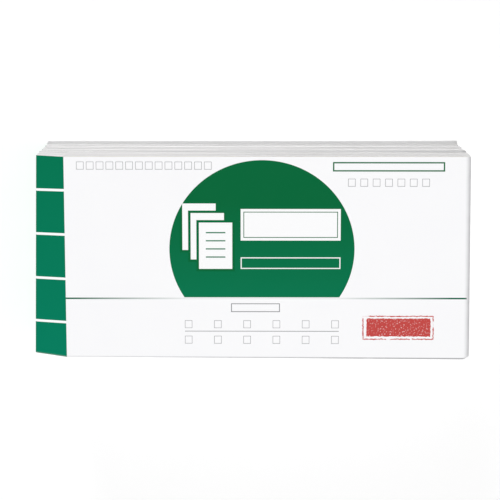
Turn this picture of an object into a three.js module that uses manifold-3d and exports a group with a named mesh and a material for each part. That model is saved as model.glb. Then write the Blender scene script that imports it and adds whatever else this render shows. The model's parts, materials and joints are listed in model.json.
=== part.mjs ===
// A pile of ten carbonless receipt books, lying on its back covers.
// Millimetres, +Z up, +X from the spine to the fore-edge, +Y to the head of the page.
import * as THREE from "three";
import { mergeVertices } from "three/addons/utils/BufferGeometryUtils.js";
import Module from "manifold-3d";

const wasm = await Module();
wasm.setup();

// Books and pile
const BOOK_LENGTH = 190;
const BOOK_WIDTH = 89;
const MARGIN_WIDTH = 13.2;
const SPINE_THICKNESS = 4.2;
const CREASE_THICKNESS = 4.75;
const FORE_THICKNESS = 4.8;
const PILE_THICKNESS = 48;
const BOOKS = Math.round(PILE_THICKNESS / FORE_THICKNESS);
const LAYER_GAP = 0.02;
const JOG = 0.25;
const JOG_TURN = 2.4;

// Wrap cover, one piece of card round the spine
const CARD = 0.25;
const SPINE_RADIUS = 1.0;
const OVERHANG = 1.7;
const LIP_RADIUS = 1.8;
const LIP_ANGLE = THREE.MathUtils.degToRad(65);
const HINGE_SLIT = 0.15;

// Leaves of the top book that turn by themselves, one set of copies after another
const LOOSE_SETS = 5;
const COPIES = [
  { name: "white", colour: 0xf4f4f2 },
  { name: "pink", colour: 0xf3cdd3 },
  { name: "yellow", colour: 0xf6e8ac },
];
const LEAF = 0.07;
const LEAF_GAP = 0.012;

// Staples of flat wire, clinched inwards under the sheets
const STAPLES = 2;
const STAPLE_INSET = 6;
const STAPLE_END_INSET = 19;
const STAPLE_CROWN = 12;
const WIRE_WIDTH = 0.7;
const WIRE_THICKNESS = 0.5;
const WIRE_BEND = 0.8;
const CLINCH = 2.4;
const STAPLE_SINK = 0.05;
const STAPLE_CLEARANCE = 0.2;

const CURVE_STEPS = 4;
const looseLeaves = LOOSE_SETS * COPIES.length;
const looseDepth = looseLeaves * (LEAF + LEAF_GAP);

function finish(colour, roughness, metalness = 0) {
  return new THREE.MeshStandardMaterial({ color: colour, roughness, metalness });
}

const WHITE_CARD = () => finish(0xeeeeee, 0.55);
const GREEN_CARD = () => finish(0x00764f, 0.5);
const PAPER = () => finish(0xe6e6e4, 0.85);
const STEEL = () => finish(0xb9bcc0, 0.3, 1);

// One book's thickness at a distance x from the spine: the bound margin is pressed thinner.
function bookThickness(x) {
  if (x <= MARGIN_WIDTH) {
    return THREE.MathUtils.lerp(SPINE_THICKNESS, CREASE_THICKNESS, x / MARGIN_WIDTH);
  }
  const along = (x - MARGIN_WIDTH) / (BOOK_LENGTH - MARGIN_WIDTH);
  return THREE.MathUtils.lerp(CREASE_THICKNESS, FORE_THICKNESS, along);
}

// The faces of a book in the pile, each lying on the one below.
function bottomOf(book, x) {
  return (book - 1) * bookThickness(x);
}

function topOf(book, x) {
  return book * bookThickness(x) - LAYER_GAP;
}

// The books lie a little out of line, apart from the first and the last.
function jogOf(book) {
  const free = book > 1 && book < BOOKS;
  return free ? JOG * Math.sin(book * JOG_TURN) : 0;
}

// A section that runs round the spine, drawn in by an inset, from one leg's end to the other's.
function spineSection(book, inset, bottomEnd, topEnd) {
  const bottom = (x) => bottomOf(book, x) + inset;
  const top = (x) => topOf(book, x) - inset;
  const spine = jogOf(book) + inset;
  const radius = SPINE_RADIUS - inset;
  const path = new THREE.Path();
  path.moveTo(bottomEnd, bottom(bottomEnd));
  if (bottomEnd > MARGIN_WIDTH) path.lineTo(MARGIN_WIDTH, bottom(MARGIN_WIDTH));
  path.lineTo(spine + radius, bottom(spine + radius));
  path.quadraticCurveTo(spine, bottom(spine), spine, bottom(spine) + radius);
  path.lineTo(spine, top(spine) - radius);
  path.quadraticCurveTo(spine, top(spine), spine + radius, top(spine + radius));
  if (topEnd > MARGIN_WIDTH) path.lineTo(MARGIN_WIDTH, top(MARGIN_WIDTH));
  path.lineTo(topEnd, top(topEnd));
  return path.getPoints(CURVE_STEPS);
}

// A section is drawn in X and Z, and runs along Y for the width of the book.
function acrossBook(points, book) {
  const geometry = new THREE.ExtrudeGeometry(new THREE.Shape(points), {
    depth: BOOK_WIDTH,
    bevelEnabled: false,
  });
  geometry.rotateX(Math.PI / 2);
  geometry.translate(0, BOOK_WIDTH / 2 + jogOf(book), 0);
  return geometry;
}

// Card folded round the spine: back, spine and front, as far as each leg's end.
function wrapCover(book, bottomEnd, topEnd) {
  const outside = spineSection(book, 0, bottomEnd, topEnd);
  const inside = spineSection(book, CARD, bottomEnd, topEnd);
  return acrossBook([...outside, ...inside.reverse()], book);
}

// Sheets sewn up in the cover, from the spine to a given edge.
function sheetStack(book, edge) {
  return acrossBook(spineSection(book, CARD + LAYER_GAP, edge, edge), book);
}

// A flat layer of the top book beyond the crease, between two depths under its top face.
function flatLayer(start, end, upper, lower) {
  const points = [
    new THREE.Vector2(start, lower(start)),
    new THREE.Vector2(end, lower(end)),
    new THREE.Vector2(end, upper(end)),
    new THREE.Vector2(start, upper(start)),
  ];
  return acrossBook(points, BOOKS);
}

// The front cover turns down over the sheets at its fore-edge.
function frontCover() {
  const start = MARGIN_WIDTH + HINGE_SLIT;
  const bend = BOOK_LENGTH - LIP_RADIUS * Math.sin(LIP_ANGLE);
  const centre = topOf(BOOKS, bend) - LIP_RADIUS;
  const upright = Math.PI / 2;
  const shape = new THREE.Shape();
  shape.moveTo(start, topOf(BOOKS, start) - CARD);
  shape.lineTo(start, topOf(BOOKS, start));
  shape.absarc(bend, centre, LIP_RADIUS, upright, upright - LIP_ANGLE, true);
  shape.absarc(bend, centre, LIP_RADIUS - CARD, upright - LIP_ANGLE, upright, false);
  return acrossBook(shape.getPoints(CURVE_STEPS), BOOKS);
}

// A closed C of wire: crown, two legs and two feet turned inwards, with rounded bends.
function stapleGeometry(height, grow) {
  const halfOut = STAPLE_CROWN / 2 + grow;
  const highOut = height / 2 + grow;
  const halfIn = STAPLE_CROWN / 2 - WIRE_THICKNESS - grow;
  const highIn = height / 2 - WIRE_THICKNESS - grow;
  const outer = WIRE_BEND + grow;
  const inner = WIRE_BEND - WIRE_THICKNESS - grow;
  const toe = STAPLE_CROWN / 2 - CLINCH - grow;
  const shape = new THREE.Shape();
  shape.moveTo(-toe, -highOut);
  ringCorners(shape, halfOut, highOut, outer, true);
  shape.lineTo(toe, -highOut);
  shape.lineTo(toe, -highIn);
  ringCorners(shape, halfIn, highIn, Math.max(inner, 0.05), false);
  shape.lineTo(-toe, -highIn);
  const width = WIRE_WIDTH + 2 * grow;
  const geometry = new THREE.ExtrudeGeometry(shape, {
    depth: width,
    bevelEnabled: false,
    curveSegments: CURVE_STEPS,
  });
  geometry.translate(0, 0, -width / 2);
  geometry.rotateX(Math.PI / 2);
  geometry.rotateZ(Math.PI / 2);
  return geometry;
}

// Four rounded corners in turn, from the lower left over the top or back the same way.
function ringCorners(shape, half, high, radius, overTheTop) {
  const corners = [[-1, -1], [-1, 1], [1, 1], [1, -1]];
  if (!overTheTop) corners.reverse();
  for (const [side, level] of corners) {
    const x = side * half;
    const y = level * high;
    const along = [x - side * radius, y];
    const upright = [x, y - level * radius];
    const fromFloor = (side * level > 0) === overTheTop;
    const [enter, leave] = fromFloor ? [along, upright] : [upright, along];
    shape.lineTo(...enter);
    shape.quadraticCurveTo(x, y, ...leave);
  }
}

// The margin of a book leans more the higher it lies in the pile.
function staplePlace(book, index) {
  const x = STAPLE_INSET + jogOf(book);
  const inset = CARD + LAYER_GAP;
  const bottom = bottomOf(book, x) + inset;
  const top = topOf(book, x) - inset;
  const rise = (book - 0.5) * (CREASE_THICKNESS - SPINE_THICKNESS);
  const lean = Math.atan2(rise, MARGIN_WIDTH);
  const reach = BOOK_WIDTH / 2 - STAPLE_END_INSET;
  const along = THREE.MathUtils.lerp(-reach, reach, index / (STAPLES - 1)) + jogOf(book);
  return {
    height: (top - bottom) * Math.cos(lean) - 2 * STAPLE_SINK,
    lean,
    centre: new THREE.Vector3(x, along, (bottom + top) / 2),
  };
}

function placeStaple(mesh, place) {
  mesh.rotation.y = -place.lean;
  mesh.position.copy(place.centre);
  mesh.updateMatrix();
  return mesh;
}

function toSolid(geometry) {
  const bare = geometry.clone();
  bare.deleteAttribute("normal");
  bare.deleteAttribute("uv");
  const merged = mergeVertices(bare, 1e-4);
  return new wasm.Manifold(new wasm.Mesh({
    numProp: 3,
    vertProperties: new Float32Array(merged.attributes.position.array),
    triVerts: new Uint32Array(merged.index.array),
  }));
}

function fromSolid(solid) {
  const mesh = solid.getMesh();
  const geometry = new THREE.BufferGeometry();
  geometry.setAttribute("position", new THREE.BufferAttribute(mesh.vertProperties, 3));
  geometry.setIndex(new THREE.BufferAttribute(mesh.triVerts, 1));
  geometry.computeVertexNormals();
  return geometry;
}

// The staples bite into the sheets, so each leaves a slot with a little room round the wire.
function punched(geometry, book) {
  let solid = toSolid(geometry);
  for (let index = 0; index < STAPLES; index += 1) {
    const place = staplePlace(book, index);
    const cutter = placeStaple(new THREE.Mesh(stapleGeometry(place.height, STAPLE_CLEARANCE)), place);
    solid = solid.subtract(toSolid(cutter.geometry.applyMatrix4(cutter.matrix)));
  }
  return fromSolid(solid);
}

function addMesh(group, name, geometry, material) {
  const mesh = new THREE.Mesh(geometry, material);
  mesh.name = name;
  group.add(mesh);
  return mesh;
}

function addStaples(group, book, label) {
  for (let index = 0; index < STAPLES; index += 1) {
    const place = staplePlace(book, index);
    const staple = addMesh(group, `${label}_staple_${index + 1}`, stapleGeometry(place.height, 0), STEEL());
    placeStaple(staple, place);
  }
}

function closedBook(book) {
  const group = new THREE.Group();
  const label = `book_${String(book).padStart(2, "0")}`;
  const edge = BOOK_LENGTH + jogOf(book);
  addMesh(group, `${label}_cover`, wrapCover(book, edge, edge), WHITE_CARD());
  addMesh(group, `${label}_sheets`, punched(sheetStack(book, edge - OVERHANG), book), PAPER());
  addStaples(group, book, label);
  return group;
}

// The top book: its sheets are parted at the crease into stubs and tear-off leaves.
function openingBook() {
  const group = new THREE.Group();
  const label = "top_book";
  const start = MARGIN_WIDTH + HINGE_SLIT;
  const edge = BOOK_LENGTH - OVERHANG;
  const sheetsTop = (x) => topOf(BOOKS, x) - CARD - LAYER_GAP;
  const sheetsBottom = (x) => bottomOf(BOOKS, x) + CARD + LAYER_GAP;
  addMesh(group, `${label}_cover`, wrapCover(BOOKS, BOOK_LENGTH, MARGIN_WIDTH), GREEN_CARD());
  addMesh(group, `${label}_stubs`, punched(sheetStack(BOOKS, MARGIN_WIDTH), BOOKS), PAPER());
  addMesh(group, `${label}_leaves`, flatLayer(start, edge, (x) => sheetsTop(x) - looseDepth, sheetsBottom), PAPER());
  addMesh(group, "front_cover", frontCover(), WHITE_CARD());
  for (let leaf = 0; leaf < looseLeaves; leaf += 1) {
    const copy = COPIES[leaf % COPIES.length];
    const depth = leaf * (LEAF + LEAF_GAP);
    const upper = (x) => sheetsTop(x) - depth;
    const lower = (x) => upper(x) - LEAF;
    const name = `leaf_${String(leaf + 1).padStart(2, "0")}_${copy.name}`;
    addMesh(group, name, flatLayer(start, edge, upper, lower), finish(copy.colour, 0.85));
  }
  addStaples(group, BOOKS, label);
  return group;
}

const pile = new THREE.Group();
for (let book = 1; book < BOOKS; book += 1) {
  pile.add(closedBook(book));
}
pile.add(openingBook());

// The origin is on the table, under the middle of the pile.
const bounds = new THREE.Box3().setFromObject(pile);
const middle = bounds.getCenter(new THREE.Vector3());
pile.position.set(-middle.x, -middle.y, 0);

export default pile;
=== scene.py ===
import json
import math
import random

import bpy
from mathutils import Euler, Matrix, Vector

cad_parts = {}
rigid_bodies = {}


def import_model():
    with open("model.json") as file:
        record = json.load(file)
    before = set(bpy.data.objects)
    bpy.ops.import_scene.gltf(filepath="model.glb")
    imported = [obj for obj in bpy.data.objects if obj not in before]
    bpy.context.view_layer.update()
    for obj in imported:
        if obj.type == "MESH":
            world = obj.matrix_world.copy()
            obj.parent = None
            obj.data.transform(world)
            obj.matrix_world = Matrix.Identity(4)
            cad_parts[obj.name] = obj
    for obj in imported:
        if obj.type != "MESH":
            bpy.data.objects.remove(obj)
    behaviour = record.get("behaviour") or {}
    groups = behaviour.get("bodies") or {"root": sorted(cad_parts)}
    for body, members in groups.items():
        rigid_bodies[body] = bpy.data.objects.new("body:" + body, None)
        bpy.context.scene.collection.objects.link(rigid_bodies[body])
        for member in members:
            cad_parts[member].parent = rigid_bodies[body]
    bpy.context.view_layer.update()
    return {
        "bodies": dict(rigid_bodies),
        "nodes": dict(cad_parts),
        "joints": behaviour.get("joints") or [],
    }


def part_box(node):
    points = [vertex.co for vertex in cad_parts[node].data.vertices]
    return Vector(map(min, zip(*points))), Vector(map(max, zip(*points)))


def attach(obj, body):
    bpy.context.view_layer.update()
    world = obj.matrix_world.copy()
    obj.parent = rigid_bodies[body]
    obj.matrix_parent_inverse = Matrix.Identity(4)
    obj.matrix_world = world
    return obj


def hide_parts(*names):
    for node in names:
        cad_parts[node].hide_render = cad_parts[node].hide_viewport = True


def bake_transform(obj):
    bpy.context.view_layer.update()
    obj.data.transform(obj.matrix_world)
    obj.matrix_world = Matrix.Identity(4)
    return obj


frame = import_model()

MM = 0.001


def size_of(node):
    low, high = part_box(node)
    return [(b - a) / MM for a, b in zip(low, high)]


def joint(name):
    return next(j for j in frame["joints"] if j["name"] == name)


# The pile, in millimetres from the spine, from the middle of the page and from the table
SPINE_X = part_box("top_book_cover")[0].x / MM
MIDDLE_Y = (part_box("top_book_cover")[0].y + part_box("top_book_cover")[1].y) / 2 / MM
BOOK_LENGTH, BOOK_WIDTH, _ = size_of("book_01_cover")
HALF_WIDTH = BOOK_WIDTH / 2
MARGIN_WIDTH = joint("cover_hinge")["pos_m"][0] / MM - SPINE_X
BOOKS = 1 + sum(1 for body in frame["bodies"] if body.startswith("book_"))
LOOSE = sum(1 for body in frame["bodies"] if body.startswith("leaf_"))
SPINE_THICKNESS = 4.2
CREASE_THICKNESS = 4.75
FORE_THICKNESS = 4.8
CARD = 0.25
LAYER_GAP = 0.02
SPINE_RADIUS = 1.0
OVERHANG = 1.7
HINGE_SLIT = 0.15
LIP_RADIUS = 1.8
LIP_ANGLE = math.radians(65)
LEAF = 0.07
LEAF_GAP = 0.012
SHEETS = 60
SHEETS_IN_A_SLAB = 5
COPIES = ("white", "pink", "yellow")

# Camera, from the outline of the cover and the far edges in the photograph
CAMERA_PLACE = (-0.0035, 0.12756, 0.70075)
CAMERA_TILT = math.radians(8.872)
CAMERA_TURN = math.radians(0.228)
CAMERA_ROLL = math.radians(-0.056)
CAMERA_LENS = 109.59
CAMERA_SENSOR = 36.0
CAMERA_SHIFT = -0.10
CAMERA_NEAR = 0.01

# Light
SKY_STRENGTH = 0.225
KEY_STRENGTH = 2.06
KEY_SOFTNESS = math.radians(0.9)
KEY_TILT = (math.radians(1.75), 0.0, 0.0)
FILL_SOFTNESS = math.radians(16)
HEAD_FILL_STRENGTH = 1.84
HEAD_FILL_TILT = (math.radians(-83.0), 0.0, math.radians(12.0))
FOOT_FILL_STRENGTH = 1.0
FOOT_FILL_TILT = (math.radians(83.0), 0.0, math.radians(-12.0))


# The pile as a field of heights

def wave(x, length, turn):
    return math.sin(2 * math.pi * x / length + turn)


def book_thickness(x):
    """One book's thickness: the bound margin is pressed thinner by its staples."""
    if x <= MARGIN_WIDTH:
        return SPINE_THICKNESS + (CREASE_THICKNESS - SPINE_THICKNESS) * x / MARGIN_WIDTH
    along = (x - MARGIN_WIDTH) / (BOOK_LENGTH - MARGIN_WIDTH)
    return CREASE_THICKNESS + (FORE_THICKNESS - CREASE_THICKNESS) * along


EDGE_POWER = 4
CALM = 0.75


def edge_share(y):
    """1 at the head and foot, fading to 0 in the middle of the page."""
    return min(1.0, abs(y) / HALF_WIDTH) ** EDGE_POWER


def loose_share(x):
    """1 at the spine, less towards the fore-edge, where the books lie calmer."""
    return 1.0 - CALM * x / BOOK_LENGTH


BUCKLE = 0.42
BUCKLE_WAVES = ((71.0, 0.9), (43.0, 1.7), (118.0, 0.5))
MIDDLE_BUCKLE = 0.25


def buckle(x, y, level):
    """Long paper waves inside the pile, none on the table or at the top cover."""
    inside = math.sin(math.pi * level / BOOKS)
    waves = sum(wave(x, length, turn * level) for length, turn in BUCKLE_WAVES) / len(BUCKLE_WAVES)
    across = MIDDLE_BUCKLE + (1.0 - MIDDLE_BUCKLE) * edge_share(y)
    return BUCKLE * inside * waves * loose_share(x) * across


AIR = 0.08
AJAR = 0.4
LENS_LENGTH = 83.0
LENS_LENGTH_STEP = 7.0
LENS_TURN = 1.9


def air(level, x, y):
    """The air over a book: a thin film that opens in flat lenses along the edges."""
    if level < 1 or level >= BOOKS:
        return 0.0
    lens = max(0.0, wave(x, LENS_LENGTH + LENS_LENGTH_STEP * level, LENS_TURN * level)) ** 2
    return AIR + AJAR * lens * loose_share(x) * edge_share(y)


def bottom_of(book, x, y):
    level = book - 1
    return level * book_thickness(x) + buckle(x, y, level) + air(level, x, y) / 2


def top_of(book, x, y):
    return book * book_thickness(x) + buckle(x, y, book) - air(book, x, y) / 2


def label_of(book):
    return "top_book" if book == BOOKS else f"book_{book:02d}"


def solid_shift(book):
    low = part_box(f"{label_of(book)}_cover")[0]
    return low.x / MM - SPINE_X, low.y / MM + HALF_WIDTH - MIDDLE_Y


# How far each book lies out of line: shifted along the page, and across it turned a little about the spine
JOGS = {book: solid_shift(book) for book in range(1, BOOKS + 1)}


def spread(start, end, count):
    return [start + (end - start) * i / count for i in range(count + 1)]


def chain(start, *legs):
    """Stations from a start along several legs, each given by its end and its count of steps."""
    stations, here = [start], start
    for end, count in legs:
        stations += spread(here, end, count)[1:]
        here = end
    return stations


def place(x, y, z):
    """Millimetres in the pile, to metres in the row frame."""
    return Vector(((x + SPINE_X) * MM, (y + MIDDLE_Y) * MM, z * MM))


# How far the folds, the foot and the top cover's fore-edge run out of square
SPINE_SHIFT = -0.25
SPINE_SKEW = 1.0
SPINE_TRIM = 0.65
FORE_SHIFT = 0.34
FORE_SKEW = 0.52
FORE_FLARE = 1.0
FORE_POWER = 4
FOOT_POWER = 6


def foot_share(y):
    """1 at the foot of the page, fading quickly above it."""
    return max(0.0, -y / HALF_WIDTH) ** FOOT_POWER


def skewed_spine(x, y):
    """The folds run a little out of square, and the foot is cut at a slant there."""
    near = min(1.0, max(0.0, 1.0 - x / MARGIN_WIDTH))
    along = SPINE_SHIFT + SPINE_SKEW * y / HALF_WIDTH
    return x + along * near, y + SPINE_TRIM * near * foot_share(y)


def skewed_front(x, y):
    """The front cover's fore-edge and foot run a little out of square too."""
    far = max(0.0, (x - MARGIN_WIDTH) / (BOOK_LENGTH - MARGIN_WIDTH))
    along = FORE_SHIFT - FORE_SKEW * y / HALF_WIDTH
    return x + along * far ** FORE_POWER, y - FORE_FLARE * far * foot_share(y)


def jogged(book, x, y):
    """A point of one book, with the skew of its fold and its own place out of line."""
    x, y = skewed_spine(x, y)
    jog_x, jog_y = JOGS[book]
    return x + jog_x, y + jog_y * x / BOOK_LENGTH


# Meshes made row by row

SHARP_ANGLE = math.radians(35)


class Grid:
    """Points, faces, page coordinates, edge coordinates and materials of one mesh."""

    def __init__(self):
        self.points = []
        self.page = []
        self.edge = []
        self.faces = []
        self.slots = []

    def add(self, x, y, z, page=(0.0, 0.0), edge=(0.0, 0.0)):
        self.points.append(place(x, y, z))
        self.page.append(page)
        self.edge.append(edge)
        return len(self.points) - 1

    def face(self, corners, slot=0):
        self.faces.append(corners)
        self.slots.append(slot)

    def strip(self, first, second, slot):
        """Quads between two rows of points, with one material or one for each quad."""
        for i in range(len(first) - 1):
            one = slot[i] if isinstance(slot, list) else slot
            self.face((first[i], first[i + 1], second[i + 1], second[i]), one)

    def closed(self, outer, inner, outer_slot, inner_slot, rim_slot):
        """A closed sheet: its outer rows from foot to head, its inner rows, and the rim between them."""
        for lower, upper in zip(outer, outer[1:]):
            self.strip(lower, upper, outer_slot)
        for lower, upper in zip(inner, inner[1:]):
            self.strip(upper, lower, inner_slot)
        self.strip(inner[0], outer[0], rim_slot)
        self.strip(outer[-1], inner[-1], rim_slot)
        self.strip([row[0] for row in outer], [row[0] for row in inner], rim_slot)
        self.strip([row[-1] for row in inner], [row[-1] for row in outer], rim_slot)

    def build(self, name, materials):
        mesh = bpy.data.meshes.new(name)
        mesh.from_pydata(self.points, [], self.faces)
        mesh.update()
        page = mesh.uv_layers.new(name="Page")
        edge = mesh.uv_layers.new(name="Edge")
        for loop in mesh.loops:
            x, y = self.page[loop.vertex_index]
            page.data[loop.index].uv = (x / BOOK_LENGTH, y / BOOK_WIDTH + 0.5)
            edge.data[loop.index].uv = self.edge[loop.vertex_index]
        for material in materials:
            mesh.materials.append(material)
        for polygon, slot in zip(mesh.polygons, self.slots):
            polygon.material_index = slot
        mesh.set_sharp_from_angle(angle=SHARP_ANGLE)
        obj = bpy.data.objects.new(name, mesh)
        bpy.context.scene.collection.objects.link(obj)
        return obj


# Materials

PRINT_SOFT = 0.06
NOISE_MEAN = 0.5
BUMP_DEPTH = 0.00005


def linear(red, green, blue):
    """A colour given as it looks on the screen, from 0 to 255, by the standard screen curve."""
    def one(value):
        value = value / 255
        return value / 12.92 if value <= 0.04045 else ((value + 0.055) / 1.055) ** 2.4
    return (one(red), one(green), one(blue), 1.0)


def grown(box, margin):
    left, head, right, foot = box
    return left - margin, head - margin, right + margin, foot + margin


class Shade:
    """A material's nodes, with short names for the sums that a print needs."""

    def __init__(self, name):
        self.material = bpy.data.materials.new(name)
        self.material.use_nodes = True
        self.tree = self.material.node_tree
        self.tree.nodes.clear()
        self.output = self.tree.nodes.new("ShaderNodeOutputMaterial")

    def node(self, kind, **inputs):
        made = self.tree.nodes.new(kind)
        for key, value in inputs.items():
            self.feed(made.inputs[key.replace("_", " ")], value)
        return made

    def feed(self, socket, value):
        if isinstance(value, bpy.types.NodeSocket):
            self.tree.links.new(value, socket)
        else:
            socket.default_value = value

    def math(self, operation, a, b=0.0, clamp=False):
        made = self.tree.nodes.new("ShaderNodeMath")
        made.operation = operation
        made.use_clamp = clamp
        self.feed(made.inputs[0], a)
        self.feed(made.inputs[1], b)
        return made.outputs[0]

    def add(self, a, b):
        return self.math("ADD", a, b)

    def times(self, a, b):
        return self.math("MULTIPLY", a, b)

    def less(self, a, b):
        return self.math("SUBTRACT", a, b)

    def most(self, a, b):
        return self.math("MAXIMUM", a, b)

    def ramp(self, value, start, rise):
        return self.add(self.times(value, rise), start)

    def mix(self, share, first, second):
        """A share of the second colour over the first; a mix node's sockets 6, 7 and 2 are colours."""
        made = self.tree.nodes.new("ShaderNodeMix")
        made.data_type = "RGBA"
        self.feed(made.inputs[0], share)
        self.feed(made.inputs[6], first)
        self.feed(made.inputs[7], second)
        return made.outputs[2]

    def map_of(self, name):
        coordinates = self.tree.nodes.new("ShaderNodeUVMap")
        coordinates.uv_map = name
        split = self.node("ShaderNodeSeparateXYZ", Vector=coordinates.outputs[0])
        return split.outputs[0], split.outputs[1]

    def page(self):
        """Millimetres from the spine and below the head of the page."""
        across, up = self.map_of("Page")
        return self.times(across, BOOK_LENGTH), self.times(self.less(1.0, up), BOOK_WIDTH)

    def above(self, value, edge, soft):
        """0 below an edge and 1 above it, over a soft width."""
        return self.math("DIVIDE", self.less(value, edge), soft, clamp=True)

    def below(self, value, edge):
        return self.above(self.times(value, -1.0), -edge, PRINT_SOFT)

    def between(self, value, low, high):
        return self.times(self.above(value, low, PRINT_SOFT), self.below(value, high))

    def box(self, x, y, left, head, right, foot):
        return self.times(self.between(x, left, right), self.between(y, head, foot))

    def outline(self, x, y, *box, line):
        inner = self.box(x, y, *grown(box, -line))
        return self.math("SUBTRACT", self.box(x, y, *box), inner, clamp=True)

    def noise(self, vector, scale, detail):
        return self.node("ShaderNodeTexNoise", Vector=vector, Scale=scale, Detail=detail).outputs["Fac"]

    def grain(self, x, y, layer, scale=1.0, detail=3.0):
        """Noise over the page; another layer gives another pattern."""
        point = self.node("ShaderNodeCombineXYZ", X=x, Y=y, Z=layer).outputs[0]
        return self.noise(point, scale, detail)

    def finish(self, colour, roughness, specular, height, bump=0.1, metallic=0.0):
        raised = self.node("ShaderNodeBump", Strength=bump, Distance=BUMP_DEPTH, Height=height)
        shader = self.node("ShaderNodeBsdfPrincipled", Base_Color=colour, Roughness=roughness,
                           Metallic=metallic, Specular_IOR_Level=specular, Normal=raised.outputs[0])
        self.tree.links.new(shader.outputs[0], self.output.inputs[0])
        return self.material


CARD_WHITE = linear(252, 252, 253)
CARD_WHITE_DULL = linear(249, 249, 251)
EDGE_SHADE_GREY = linear(176, 176, 178)
# The grey of the painted shade along the cover's foot and fore-edge
BAND_GREEN = linear(2, 114, 79)
BAND_FOOT_GREEN = linear(2, 122, 92)
DISC_GREEN = linear(2, 102, 57)
DISC_FOOT_GREEN = linear(3, 115, 76)
RULE_GREEN = linear(8, 96, 66)
SEAL_RED = linear(196, 74, 70)
FIELD_GREY = linear(96, 98, 102)

# The cover's print, in millimetres from the spine and below the head
CROSS_LINES = (14.1, 33.6, 53.3, 72.7)
CROSS_LINE_WIDTH = 1.15
CROSS_LINE_SLANT = 0.45
BAND_END = MARGIN_WIDTH + 0.2
DISC_CENTRE = (99.3, 40.7)
DISC_ACROSS = 40.4
DISC_DOWN = 39.3
DISC_FOOT = 62.1
DISC_TINT_HEAD = 20.0
DISC_TINT_DEPTH = 40.0
RULE_TOP = 62.2
RULE_WIDTH = 0.75
RULE_HALF = 84.0
RULE_END = 188.7
RULE_FADE = 1.5
RULE_FADE_START = 0.48
RULE_PALEST = 0.12
SLIPS = ((64.6, 20.4), (68.2, 24.6), (71.8, 28.8))
SLIP_SIZE = (14.6, 20.6)
SLIP_LINE = 1.1
SLIP_RULES = (4.2, 7.8, 11.4, 15.0)
SLIP_RULE_INSET = 3.0
SLIP_RULE_WIDTH = 0.6

# Boxes of the print: left, head, right and foot
LABEL = (90.0, 22.8, 133.6, 36.8)
LABEL_INSET = 1.2
LABEL_LINE = 0.35
LABEL_FIELD = (90.0, 44.2, 133.6, 49.4)
LABEL_FIELD_LINE = 0.45
SMALL_FIELD = (85.8, 64.8, 107.2, 68.7)
SMALL_FIELD_LINE = 0.3
LONG_FIELD = (130.0, 2.2, 178.7, 6.4)
LONG_FIELD_LINE = 0.6
FORM_LINE = (65.5, 77.1, 133.1, 77.4)
SEAL_FRAME = (143.4, 70.3, 174.5, 80.9)
SEAL_FILL = (145.1, 71.5, 173.1, 79.5)
SEAL_LINE = 0.45
SEAL_WOBBLE = 0.9
SEAL_WOBBLE_SCALE = 0.9
DRY_SHARE = 0.7
LOST_SHARE = 0.85
FIELD_INK = 0.8

# Rows of empty boxes: left, head, count and step across, count and step down
FORM_BOXES = (65.5, 72.4, 6, 12.85, 2, 6.9)
HEAD_BOXES = (18.8, 2.1, 14, 4.26, 1, 9.0)
FIELD_BOXES = (136.6, 9.5, 7, 5.37, 1, 9.0)
EMPTY_BOX = (0.0, 0.0, 3.3, 3.5)
EMPTY_BOX_LINE = 0.2
EMPTY_BOX_LEAD = 0.1


def green_margin(s, x, y, colour):
    """The green band over the bound margin, with its white cross lines."""
    near_spine = s.math("DIVIDE", s.less(MARGIN_WIDTH, x), MARGIN_WIDTH, clamp=True)
    slanted = s.less(y, s.times(near_spine, CROSS_LINE_SLANT))
    lines = 0.0
    for head in CROSS_LINES:
        lines = s.most(lines, s.between(slanted, head, head + CROSS_LINE_WIDTH))
    green = s.mix(s.math("DIVIDE", y, BOOK_WIDTH, clamp=True), BAND_GREEN, BAND_FOOT_GREEN)
    return s.mix(s.below(x, BAND_END), colour, s.mix(lines, green, CARD_WHITE))


def cut_disc(s, x, y, colour):
    """The green disc with a flat foot: its mask and the colour with it."""
    dx = s.less(x, DISC_CENTRE[0])
    dy = s.times(s.less(y, DISC_CENTRE[1]), DISC_ACROSS / DISC_DOWN)
    reach = s.math("SQRT", s.add(s.times(dx, dx), s.times(dy, dy)))
    disc = s.times(s.below(reach, DISC_ACROSS), s.below(y, DISC_FOOT))
    green = s.mix(s.above(y, DISC_TINT_HEAD, DISC_TINT_DEPTH), DISC_GREEN, DISC_FOOT_GREEN)
    return disc, s.mix(disc, colour, green)


def three_slips(s, x, y, disc, colour):
    """Three white slips laid over each other, for the three copies of each set."""
    for left, head in SLIPS:
        slip = (left, head, left + SLIP_SIZE[0], head + SLIP_SIZE[1])
        edge = s.box(x, y, *grown(slip, SLIP_LINE))
        colour = s.mix(s.times(edge, disc), colour, DISC_GREEN)
        colour = s.mix(s.box(x, y, *slip), colour, CARD_WHITE)
    left, head, right, _ = slip
    for down in SLIP_RULES:
        rule = (left + SLIP_RULE_INSET, head + down, right - SLIP_RULE_INSET, head + down + SLIP_RULE_WIDTH)
        colour = s.mix(s.box(x, y, *rule), colour, DISC_FOOT_GREEN)
    return colour


def blank_label(s, x, y, colour):
    """A blank label on the disc, with an empty box under it."""
    colour = s.mix(s.box(x, y, *LABEL), colour, CARD_WHITE)
    frame_line = s.outline(x, y, *grown(LABEL, -LABEL_INSET), line=LABEL_LINE)
    colour = s.mix(frame_line, colour, DISC_GREEN)
    return s.mix(s.outline(x, y, *LABEL_FIELD, line=LABEL_FIELD_LINE), colour, CARD_WHITE)


def fading_rule(s, x, y, colour):
    """The rule across the page, dark at its ends and pale towards the disc."""
    away = s.math("DIVIDE", s.math("ABSOLUTE", s.less(x, DISC_CENTRE[0])), RULE_HALF)
    ink = s.math("SUBTRACT", s.times(away, RULE_FADE), RULE_FADE_START, clamp=True)
    rule = s.box(x, y, 0.0, RULE_TOP, RULE_END, RULE_TOP + RULE_WIDTH)
    return s.mix(s.times(rule, s.most(ink, RULE_PALEST)), colour, RULE_GREEN)


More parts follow.
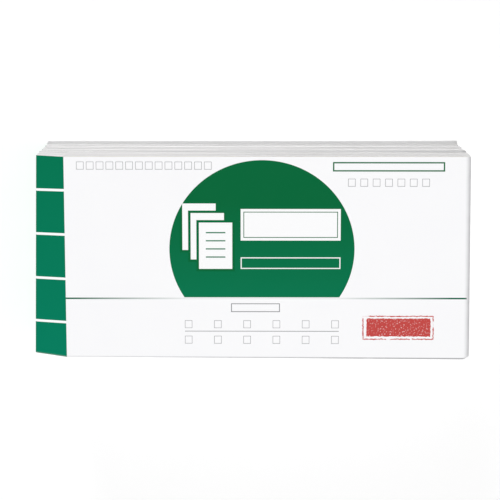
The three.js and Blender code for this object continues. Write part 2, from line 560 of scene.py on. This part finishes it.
def wobbled(s, value, x, y, layer):
    """A coordinate moved a little to and fro, for the uneven lines of a hand stamp."""
    off = s.less(s.grain(x, y, layer, SEAL_WOBBLE_SCALE), NOISE_MEAN)
    return s.add(value, s.times(off, SEAL_WOBBLE))


def worn_seal(s, x, y, colour):
    """A bare red seal in a thin frame, with the gaps of a dry stamp."""
    dry = s.above(s.grain(x, y, layer=0.0, scale=1.7, detail=5.0), edge=0.6, soft=0.05)
    ink = s.math("SUBTRACT", 1.0, s.times(dry, DRY_SHARE), clamp=True)
    lost = s.above(s.grain(x, y, layer=2.0, scale=0.3, detail=2.0), edge=0.52, soft=0.04)
    x = wobbled(s, x, x, y, layer=5.0)
    y = wobbled(s, y, x, y, layer=8.0)
    kept = s.less(1.0, s.times(lost, LOST_SHARE))
    frame_line = s.times(s.outline(x, y, *SEAL_FRAME, line=SEAL_LINE), kept)
    marks = s.most(frame_line, s.box(x, y, *SEAL_FILL))
    return s.mix(s.times(marks, ink), colour, SEAL_RED)


def empty_boxes(s, x, y, left, head, across, step_x, down, step_y):
    """Rows of small empty boxes, as many across and down as named, a step apart."""
    u = s.math("FLOORED_MODULO", s.less(x, left), step_x)
    v = s.math("FLOORED_MODULO", s.less(y, head), step_y)
    first_x, first_y = left - EMPTY_BOX_LEAD, head - EMPTY_BOX_LEAD
    area = s.box(x, y, first_x, first_y, first_x + across * step_x, first_y + down * step_y)
    return s.times(area, s.outline(u, v, *EMPTY_BOX, line=EMPTY_BOX_LINE))


def blank_fields(s, x, y, colour):
    """Blank lines and boxes to write on."""
    for boxes in (FORM_BOXES, HEAD_BOXES, FIELD_BOXES):
        colour = s.mix(s.times(empty_boxes(s, x, y, *boxes), FIELD_INK), colour, FIELD_GREY)
    colour = s.mix(s.box(x, y, *FORM_LINE), colour, FIELD_GREY)
    colour = s.mix(s.outline(x, y, *SMALL_FIELD, line=SMALL_FIELD_LINE), colour, FIELD_GREY)
    return s.mix(s.outline(x, y, *LONG_FIELD, line=LONG_FIELD_LINE), colour, DISC_GREEN)


# Painted shade along the cover's foot and fore-edge: its widths and shares
EDGE_SHADE_FOOT = 0.6
EDGE_SHADE_FOOT_SOFT = 0.2
EDGE_SHADE_FORE = 2.4
EDGE_SHADE_FORE_SHARE = 0.62


def painted_edge_shade(s, x, y, colour):
    """Painted shade: a patchy grey along the card's foot and fore-edge, growing towards the fore-edge along
    the foot, most at their corner.
    """
    patchy = s.ramp(s.grain(x, y, layer=6.0, scale=0.22), start=0.75, rise=0.6)
    foot = s.above(y, BOOK_WIDTH - EDGE_SHADE_FOOT, EDGE_SHADE_FOOT_SOFT)
    foot = s.times(foot, s.ramp(s.math("DIVIDE", x, BOOK_LENGTH), start=0.2, rise=0.9))
    fore = s.times(s.above(x, BOOK_LENGTH - EDGE_SHADE_FORE, EDGE_SHADE_FORE), EDGE_SHADE_FORE_SHARE)
    share = s.math("MULTIPLY", s.most(foot, fore), patchy, clamp=True)
    return s.mix(share, colour, EDGE_SHADE_GREY)


def coated(s, x, y, colour):
    """The satin coat of the printed card: faint mottle in the gloss and a fine tooth."""
    fine = s.grain(x, y, layer=0.0, scale=3.1, detail=2.0)
    broad = s.grain(x, y, layer=4.0, scale=0.06, detail=2.0)
    roughness = s.ramp(fine, start=s.ramp(broad, start=0.54, rise=0.1), rise=0.12)
    return s.finish(colour, roughness, specular=0.04, height=fine, bump=0.08)


def card_white(s, x, y):
    return s.mix(s.grain(x, y, layer=9.0, scale=0.05, detail=2.0), CARD_WHITE, CARD_WHITE_DULL)


def cover_print():
    s = Shade("cover_print")
    x, y = s.page()
    colour = fading_rule(s, x, y, card_white(s, x, y))
    disc, colour = cut_disc(s, x, y, colour)
    colour = three_slips(s, x, y, disc, colour)
    colour = blank_label(s, x, y, colour)
    colour = worn_seal(s, x, y, colour)
    colour = blank_fields(s, x, y, colour)
    return coated(s, x, y, painted_edge_shade(s, x, y, green_margin(s, x, y, colour)))


def back_print():
    s = Shade("back_print")
    x, y = s.page()
    return coated(s, x, y, green_margin(s, x, y, card_white(s, x, y)))


def fibrous(name, dark, light, roughness, specular, layer=0.0, scale=1.1, detail=5.0, bump=0.1):
    """Unprinted fibre: two near tones mixed by a fine noise, which also raises the surface."""
    s = Shade(name)
    x, y = s.page()
    fibre = s.grain(x, y, layer, scale, detail)
    return s.finish(s.mix(fibre, dark, light), roughness, specular, fibre, bump)


PAPER = {"white": linear(250, 250, 250), "pink": linear(250, 224, 230), "yellow": linear(251, 245, 208)}
PAPER_DULL = 0.94
INK = {"white": linear(40, 60, 54), "pink": linear(176, 70, 84), "yellow": linear(96, 92, 60)}
INK_SHARE = 0.8

# The form on the leaves, in millimetres from the spine and below the head
FORM_FRAME = (24.0, 20.0, 181.0, 70.0)
FORM_FRAME_LINE = 0.35
FORM_ROWS = (27.0, 34.5, 42.0, 49.5, 57.0)
FORM_ROW_LINE = 0.18
MONEY_COLUMNS = tuple(132.0 + 4.9 * i for i in range(10))
MONEY_COLUMN_LINE = 0.14
SIGNATURES = ((24.0, 62.0), (78.0, 116.0), (132.0, 170.0))
SIGNATURE_HEAD = 78.5
SIGNATURE_LINE = 0.25
HEADING_RULE = (78.0, 126.0)
HEADING_HEADS = (13.0, 14.2)
HEADING_LINE = 0.3
NUMBER_BOX = (152.0, 7.0, 181.0, 13.0)
NUMBER_BOX_LINE = 0.2

# The perforation: step and cut along it, and the band past the crease that it lies in
CUT_STEP = 1.4
CUT_SHARE = 0.55
CUT_START = MARGIN_WIDTH + 0.4
CUT_END = MARGIN_WIDTH + 0.75
CUT_GREY = linear(150, 150, 150)
CUT_DEPTH = 0.35


def form_rules():
    """The straight lines of the form, as narrow boxes."""
    left, head, right, _ = FORM_FRAME
    rules = [(left, row, right, row + FORM_ROW_LINE) for row in FORM_ROWS]
    rules += [(column, head, column + MONEY_COLUMN_LINE, FORM_ROWS[-1]) for column in MONEY_COLUMNS]
    rules += [(start, SIGNATURE_HEAD, end, SIGNATURE_HEAD + SIGNATURE_LINE) for start, end in SIGNATURES]
    start, end = HEADING_RULE
    return rules + [(start, down, end, down + HEADING_LINE) for down in HEADING_HEADS]


def leaf_print(copy):
    """A copy's paper with an empty ruled form, and the perforation beside the crease."""
    s = Shade(f"{copy}_form")
    x, y = s.page()
    fibre = s.grain(x, y, layer=len(copy), scale=1.1, detail=5.0)
    dull = tuple(PAPER_DULL * part for part in PAPER[copy][:3]) + (1.0,)
    colour = s.mix(fibre, dull, PAPER[copy])
    marks = s.outline(x, y, *FORM_FRAME, line=FORM_FRAME_LINE)
    for rule in form_rules():
        marks = s.most(marks, s.box(x, y, *rule))
    marks = s.most(marks, s.outline(x, y, *NUMBER_BOX, line=NUMBER_BOX_LINE))
    colour = s.mix(s.times(marks, INK_SHARE), colour, INK[copy])
    cut = s.math("LESS_THAN", s.math("FRACT", s.math("DIVIDE", y, CUT_STEP)), CUT_SHARE)
    cut = s.times(cut, s.between(x, CUT_START, CUT_END))
    colour = s.mix(s.times(cut, CUT_DEPTH), colour, CUT_GREY)
    return s.finish(colour, roughness=0.8, specular=0.15, height=fibre)


# The cut edges of white, pink and yellow sheets, painted shade in the seams between sheets, and the soft
# greys over them.
# The scales are along the edge and from sheet to sheet.
EDGE_TINTS = (linear(247, 249, 251), linear(250, 243, 247), linear(250, 249, 242))
SEAM_SHADE_GREY = linear(160, 160, 160)
SEAM_WIDTH = 0.12
SEAM_SHADE_SHARE = 0.3
STREAK_GREY = linear(228, 228, 231)
STREAK_SHARE = 0.5
STREAK_SCALES = (0.03, 0.21)
FINE_GREY = linear(236, 236, 238)
FINE_SHARE = 0.18
FINE_SCALES = (0.2, 1.7)
LEVEL_NUDGE = 0.001


def paper_edge():
    """The trimmed edge of many sheets: fine stripes by copy, with long soft streaks."""
    s = Shade("paper_edge")
    along, level = s.map_of("Edge")
    nudged = s.add(level, LEVEL_NUDGE)
    copy = s.math("FLOORED_MODULO", s.math("FLOOR", nudged), float(len(COPIES)))
    tint = EDGE_TINTS[0]
    for number in range(1, len(COPIES)):
        tint = s.mix(s.math("GREATER_THAN", copy, number - 0.5), tint, EDGE_TINTS[number])
    seam = s.math("LESS_THAN", s.math("FRACT", nudged), SEAM_WIDTH)
    # Painted shade: a thin grey line at each seam between sheets
    tint = s.mix(s.times(seam, SEAM_SHADE_SHARE), tint, SEAM_SHADE_GREY)
    x, y = (s.times(part, scale) for part, scale in zip((along, level), STREAK_SCALES))
    streak = s.above(s.grain(x, y, layer=3.0), edge=0.3, soft=0.4)
    x, y = (s.times(part, scale) for part, scale in zip((along, level), FINE_SCALES))
    fine = s.grain(x, y, layer=7.0, detail=2.0)
    colour = s.mix(s.times(s.less(1.0, streak), STREAK_SHARE), tint, STREAK_GREY)
    colour = s.mix(s.times(fine, FINE_SHARE), colour, FINE_GREY)
    return s.finish(colour, roughness=0.9, specular=0.1, height=s.less(fine, seam), bump=0.25)


def staple_steel():
    s = Shade("staple_steel")
    point = s.tree.nodes.new("ShaderNodeTexCoord").outputs["Object"]
    drawn = s.noise(point, scale=5200.0, detail=2.0)
    colour = s.mix(drawn, linear(176, 179, 184), linear(214, 216, 220))
    roughness = s.ramp(drawn, start=0.22, rise=0.15)
    return s.finish(colour, roughness, specular=0.5, height=drawn, metallic=1.0)


PRINT, BACK, EDGE = cover_print(), back_print(), paper_edge()
RAW = fibrous("raw_card", linear(231, 231, 232), linear(246, 246, 247), roughness=0.85, specular=0.15,
              scale=1.6, detail=4.0, bump=0.12)
BLANK = fibrous("plain_paper", linear(236, 236, 235), linear(247, 247, 246), roughness=0.85, specular=0.15)
LEAF_EDGE = fibrous("leaf_edge", linear(222, 222, 223), linear(240, 240, 241), roughness=0.9, specular=0.1,
                    layer=2.0, scale=2.4, detail=3.0)
FORM = {copy: leaf_print(copy) for copy in COPIES}


# Card covers

WRAP_ROWS = spread(-HALF_WIDTH, HALF_WIDTH, 24)
PAGE_STEPS = 44
MARGIN_STEPS = 8
CORNER_STEPS = 5


def corner(points, start, bend, end):
    """Rounds one corner of the spine with a curve from start to end by the bend."""
    for t in spread(0.0, 1.0, CORNER_STEPS)[1:]:
        a, b, c = (1 - t) ** 2, 2 * t * (1 - t), t ** 2
        points.append((a * start[0] + b * bend[0] + c * end[0], a * start[1] + b * bend[1] + c * end[1]))


def section_of(book, inset, top_end, y):
    """The card from the back's fore-edge round the spine to the front's end, and the back's count."""
    jog = JOGS[book][0]

    def low(x):
        return bottom_of(book, x + jog, y) + inset

    def high(x):
        return top_of(book, x + jog, y) - inset

    stations = chain(BOOK_LENGTH, (MARGIN_WIDTH, PAGE_STEPS), (SPINE_RADIUS, MARGIN_STEPS))
    points = [(x, low(x)) for x in stations]
    back = len(points) - 1
    radius = SPINE_RADIUS - inset
    corner(points, points[-1], (inset, low(inset)), (inset, low(inset) + radius))
    up = (inset, high(inset) - radius)
    points.append(up)
    corner(points, up, (inset, high(inset)), (SPINE_RADIUS, high(SPINE_RADIUS)))
    if top_end > SPINE_RADIUS:
        stations = chain(SPINE_RADIUS, (MARGIN_WIDTH, MARGIN_STEPS), (top_end, PAGE_STEPS))
        points += [(x, high(x)) for x in stations[1:]]
    return points, back


def wrap(book, top_end):
    """A book's card as a bent sheet, printed outside and raw inside and on its cut edges."""
    grid = Grid()
    outer, inner = [], []
    for y in WRAP_ROWS:
        for inset, rows in ((0.0, outer), (CARD, inner)):
            points, back = section_of(book, inset, top_end, y)
            rows.append([grid.add(*jogged(book, x, y), z, page=(x, y)) for x, z in points])
    sides = [1] * back + [0] * (len(points) - 1 - back)
    grid.closed(outer, inner, outer_slot=sides, inner_slot=2, rim_slot=2)
    label = label_of(book)
    made = grid.build(f"{label}_wrap", [PRINT, BACK, RAW])
    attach(made, label)
    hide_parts(f"{label}_cover")
    return made


# The worn corner of the top cover: its depth along the page, its height, and how far the print is drawn in
WORN_ALONG = 1.9
WORN_ACROSS = 1.3
WORN_POWER = 1.4
WORN_REACH = 12.0


def fore_edge(y):
    """The fore-edge of the top cover: its corner at the foot is worn round."""
    worn = max(0.0, 1.0 - (y + HALF_WIDTH) / WORN_ACROSS)
    return BOOK_LENGTH - WORN_ALONG * worn ** WORN_POWER


CREASE_ZONE = 1.5
LIP_ZONE = 6.0
LIP_STEPS = 8
WORN_STEPS = 8
ROW_STEPS = 32
FRONT_ROWS = chain(-HALF_WIDTH, (-HALF_WIDTH + WORN_ACROSS, WORN_STEPS), (HALF_WIDTH, ROW_STEPS))

# Steps of the front up to the crease, over it, to the lip and at the lip
FRONT_STEPS = (10, 36, 50, 6)


def lip(bend, y, inset):
    """The fore-edge of the top cover, turned down past its bend."""
    centre = top_of(BOOKS, bend, y) - LIP_RADIUS
    reach = LIP_RADIUS - inset
    angles = spread(0.0, LIP_ANGLE, LIP_STEPS)[1:]
    return [(bend + reach * math.sin(angle), centre + reach * math.cos(angle)) for angle in angles]


def top_front():
    """The front of the top cover, from the spine over the crease to the lip at the fore-edge."""
    grid = Grid()
    outer, inner = [], []
    for y in FRONT_ROWS:
        lost = BOOK_LENGTH - fore_edge(y)
        bend = fore_edge(y) - LIP_RADIUS * math.sin(LIP_ANGLE)
        ends = (MARGIN_WIDTH - CREASE_ZONE, MARGIN_WIDTH + CREASE_ZONE, bend - LIP_ZONE, bend)
        flat = chain(SPINE_RADIUS, *zip(ends, FRONT_STEPS))
        for inset, rows in ((0.0, outer), (CARD, inner)):
            points = [(x, top_of(BOOKS, x, y) - inset) for x in flat] + lip(bend, y, inset)
            row = []
            for x, z in points:
                page_x = x + lost * max(0.0, 1.0 - (points[-1][0] - x) / WORN_REACH)
                px, py = skewed_front(*skewed_spine(x, y))
                row.append(grid.add(px, py, z, page=(page_x, y)))
            rows.append(row)
    grid.closed(outer, inner, outer_slot=0, inner_slot=1, rim_slot=1)
    front = grid.build("top_book_front", [PRINT, RAW])
    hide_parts("front_cover")
    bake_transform(front)


def covers():
    for book in range(1, BOOKS):
        wrap(book, BOOK_LENGTH)
    wrap(BOOKS, SPINE_RADIUS)
    top_front()


# Sheets

EDGE_ROWS = tuple(HALF_WIDTH * share for share in (-1.0, -0.93, -0.8, -0.5, 0.0, 0.5, 0.8, 0.93, 1.0))
SHEET_STEP = 4.0
LEAST_STEPS = 4
EDGE_TURN = 1.3
FORE_INSET = 0.25
SHEET_SLIP = 0.1
SHEET_TURN = 0.22
rolls = random.Random(11)


def level_of(book, x, y, share):
    """A height among the sheets of a book, from share 0 under them to 1 over them."""
    low = bottom_of(book, x, y) + CARD + LAYER_GAP
    high = top_of(book, x, y) - CARD - LAYER_GAP
    return low + (high - low) * share


def rounded_start(share):
    """Where a sheet starts inside the rounded spine."""
    inset = CARD + LAYER_GAP
    radius = SPINE_RADIUS - inset
    depth = min(share, 1.0 - share) * (SPINE_THICKNESS - 2 * inset)
    if depth >= radius:
        return inset
    return inset + radius - math.sqrt(radius ** 2 - (radius - depth) ** 2)


def slab(grid, book, shares, start, end, top_slot):
    """A few sheets as one closed sliver of the book, slipped and turned a little."""
    slip_x, slip_y = rolls.uniform(-SHEET_SLIP, SHEET_SLIP), rolls.uniform(-SHEET_SLIP, SHEET_SLIP)
    turn = rolls.uniform(-SHEET_TURN, SHEET_TURN)
    stations = spread(start, end, max(LEAST_STEPS, int((end - start) / SHEET_STEP)))
    layers = []
    for share in shares:
        level = share * SHEETS + SHEETS * book
        rows = []
        for y in EDGE_ROWS:
            row = []
            for x in stations:
                slipped = min(x + slip_x * (x - start) / (end - start), end)
                px, py = jogged(book, slipped, y + slip_y + turn * x / BOOK_LENGTH)
                z = level_of(book, slipped + JOGS[book][0], y, share)
                row.append(grid.add(px, py, z, page=(x, y), edge=(x + EDGE_TURN * abs(y), level)))
            rows.append(row)
        layers.append(rows)
    low, high = layers
    grid.closed(high, low, outer_slot=top_slot, inner_slot=1, rim_slot=0)


SLAB_GAP = 0.004


def stack(book, name, nodes, start, end, first, last, top_material=None):
    """The sheets of a book from one share of its height to another, in slabs."""
    grid = Grid()
    slabs = round((last - first) * SHEETS / SHEETS_IN_A_SLAB)
    for number in range(slabs):
        low = first + (last - first) * number / slabs + SLAB_GAP / 2
        high = first + (last - first) * (number + 1) / slabs - SLAB_GAP / 2
        here = max(start, rounded_start((low + high) / 2)) if start < SPINE_RADIUS else start
        top = 2 if top_material and number == slabs - 1 else 1
        slab(grid, book, (low, high), here, end, top)
    made = grid.build(name, [EDGE, BLANK] + ([top_material] if top_material else []))
    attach(made, label_of(book))
    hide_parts(*nodes)


def sheets():
    fore = BOOK_LENGTH - FORE_INSET
    for book in range(1, BOOKS):
        label = label_of(book)
        stack(book, f"{label}_paper", [f"{label}_sheets"], 0.0, fore, 0.0, 1.0)
    stack_height = FORE_THICKNESS - 2 * (CARD + LAYER_GAP)
    left = 1.0 - LOOSE * (LEAF + LEAF_GAP) / stack_height
    stack(BOOKS, "top_book_paper", ["top_book_leaves"], 0.0, fore, 0.0, left, FORM["white"])
    stack(BOOKS, "top_book_torn_stubs", ["top_book_stubs"], 0.0, MARGIN_WIDTH, left, 1.0)


LEAF_BEND = 16.0
LEAF_STEPS = 24
LEAF_SLIP = 0.1
LEAF_SIDE_SHARE = 0.25
LEAF_CLEARANCE = 0.3


def loose_leaf(number):
    """One tear-off leaf, thin and closed, built flat, with close steps over the stretch past the crease."""
    copy = COPIES[(number - 1) % len(COPIES)]
    start = MARGIN_WIDTH + HINGE_SLIT
    end = BOOK_LENGTH - OVERHANG - LEAF_CLEARANCE + rolls.uniform(-LEAF_SLIP, LEAF_SLIP)
    side = rolls.uniform(-LEAF_SLIP, LEAF_SLIP) * LEAF_SIDE_SHARE
    depth = CARD + LAYER_GAP + (number - 1) * (LEAF + LEAF_GAP)
    stations = chain(start, (start + LEAF_BEND, LEAF_STEPS), (end, LEAF_STEPS))
    grid = Grid()
    layers = []
    for thickness in (LEAF, 0.0):
        rows = []
        for y in EDGE_ROWS:
            heights = [(x, top_of(BOOKS, x, y) - depth - thickness) for x in stations]
            rows.append([grid.add(x, y + side, z, page=(x, y)) for x, z in heights])
        layers.append(rows)
    low, high = layers
    grid.closed(high, low, outer_slot=0, inner_slot=0, rim_slot=1)
    leaf = grid.build(f"loose_leaf_{number:02d}", [FORM[copy], LEAF_EDGE])
    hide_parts(f"leaf_{number:02d}_{copy}")
    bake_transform(leaf)


def loose_leaves():
    for number in range(1, LOOSE + 1):
        loose_leaf(number)


def staples():
    steel = staple_steel()
    for node in frame["nodes"]:
        if "_staple_" in node:
            materials = bpy.data.objects[node].data.materials
            materials.clear()
            materials.append(steel)


# Studio

def camera():
    data = bpy.data.cameras.new("camera")
    data.sensor_width = CAMERA_SENSOR
    data.lens = CAMERA_LENS
    data.shift_y = CAMERA_SHIFT
    data.clip_start = CAMERA_NEAR
    obj = bpy.data.objects.new("camera", data)
    turn = Matrix.Rotation(CAMERA_ROLL, 3, "Z")
    turn = turn @ Matrix.Rotation(CAMERA_TILT, 3, "X") @ Matrix.Rotation(CAMERA_TURN, 3, "Y")
    obj.matrix_world = Matrix.Translation(CAMERA_PLACE) @ turn.transposed().to_4x4()
    bpy.context.scene.collection.objects.link(obj)
    bpy.context.scene.camera = obj


def seen_directly(tree):
    """1 for what the camera sees, straight or in a gloss or through glass."""
    path = tree.nodes.new("ShaderNodeLightPath")
    share = path.outputs["Is Camera Ray"]
    for name in ("Is Glossy Ray", "Is Transmission Ray"):
        either = tree.nodes.new("ShaderNodeMath")
        either.operation = "MAXIMUM"
        tree.links.new(share, either.inputs[0])
        tree.links.new(path.outputs[name], either.inputs[1])
        share = either.outputs[0]
    return share


def sky():
    world = bpy.data.worlds.new("sky")
    bpy.context.scene.world = world
    world.use_nodes = True
    tree = world.node_tree
    tree.nodes.clear()
    output = tree.nodes.new("ShaderNodeOutputWorld")
    mix = tree.nodes.new("ShaderNodeMixShader")
    tree.links.new(seen_directly(tree), mix.inputs[0])
    for slot, strength in ((1, SKY_STRENGTH), (2, 1.0)):
        part = tree.nodes.new("ShaderNodeBackground")
        part.inputs["Color"].default_value = (1.0, 1.0, 1.0, 1.0)
        part.inputs["Strength"].default_value = strength
        tree.links.new(part.outputs[0], mix.inputs[slot])
    tree.links.new(mix.outputs[0], output.inputs[0])


def lamp(name, strength, softness, tilt):
    data = bpy.data.lights.new(name, "SUN")
    data.energy = strength
    data.angle = softness
    obj = bpy.data.objects.new(name, data)
    obj.rotation_euler = Euler(tilt)
    bpy.context.scene.collection.objects.link(obj)


FLOOR_HALF = 3000.0
FLOOR_WHITE = (0.95, 0.95, 0.95, 1.0)
FLOOR_LIFT = 0.085
FLOOR_DEPTH = -0.02


def floor():
    """A white table that keeps the shadow, brought up to white only where the camera sees it."""
    s = Shade("table_white")
    white = s.node("ShaderNodeBsdfDiffuse", Color=FLOOR_WHITE)
    dark = s.node("ShaderNodeEmission", Strength=0.0)
    lift = s.node("ShaderNodeEmission", Strength=FLOOR_LIFT)
    extra = s.tree.nodes.new("ShaderNodeMixShader")
    s.feed(extra.inputs[0], seen_directly(s.tree))
    s.tree.links.new(dark.outputs[0], extra.inputs[1])
    s.tree.links.new(lift.outputs[0], extra.inputs[2])
    both = s.tree.nodes.new("ShaderNodeAddShader")
    s.tree.links.new(white.outputs[0], both.inputs[0])
    s.tree.links.new(extra.outputs[0], both.inputs[1])
    s.tree.links.new(both.outputs[0], s.output.inputs[0])
    grid = Grid()
    sides = ((-1, -1), (1, -1), (1, 1), (-1, 1))
    grid.face([grid.add(x * FLOOR_HALF, y * FLOOR_HALF, FLOOR_DEPTH) for x, y in sides])
    grid.build("table", [s.material])


camera()
covers()
sheets()
loose_leaves()
staples()
floor()
sky()
lamp("key", KEY_STRENGTH, KEY_SOFTNESS, KEY_TILT)
lamp("head_fill", HEAD_FILL_STRENGTH, FILL_SOFTNESS, HEAD_FILL_TILT)
lamp("foot_fill", FOOT_FILL_STRENGTH, FILL_SOFTNESS, FOOT_FILL_TILT)
bpy.context.scene.view_settings.view_transform = "Standard"
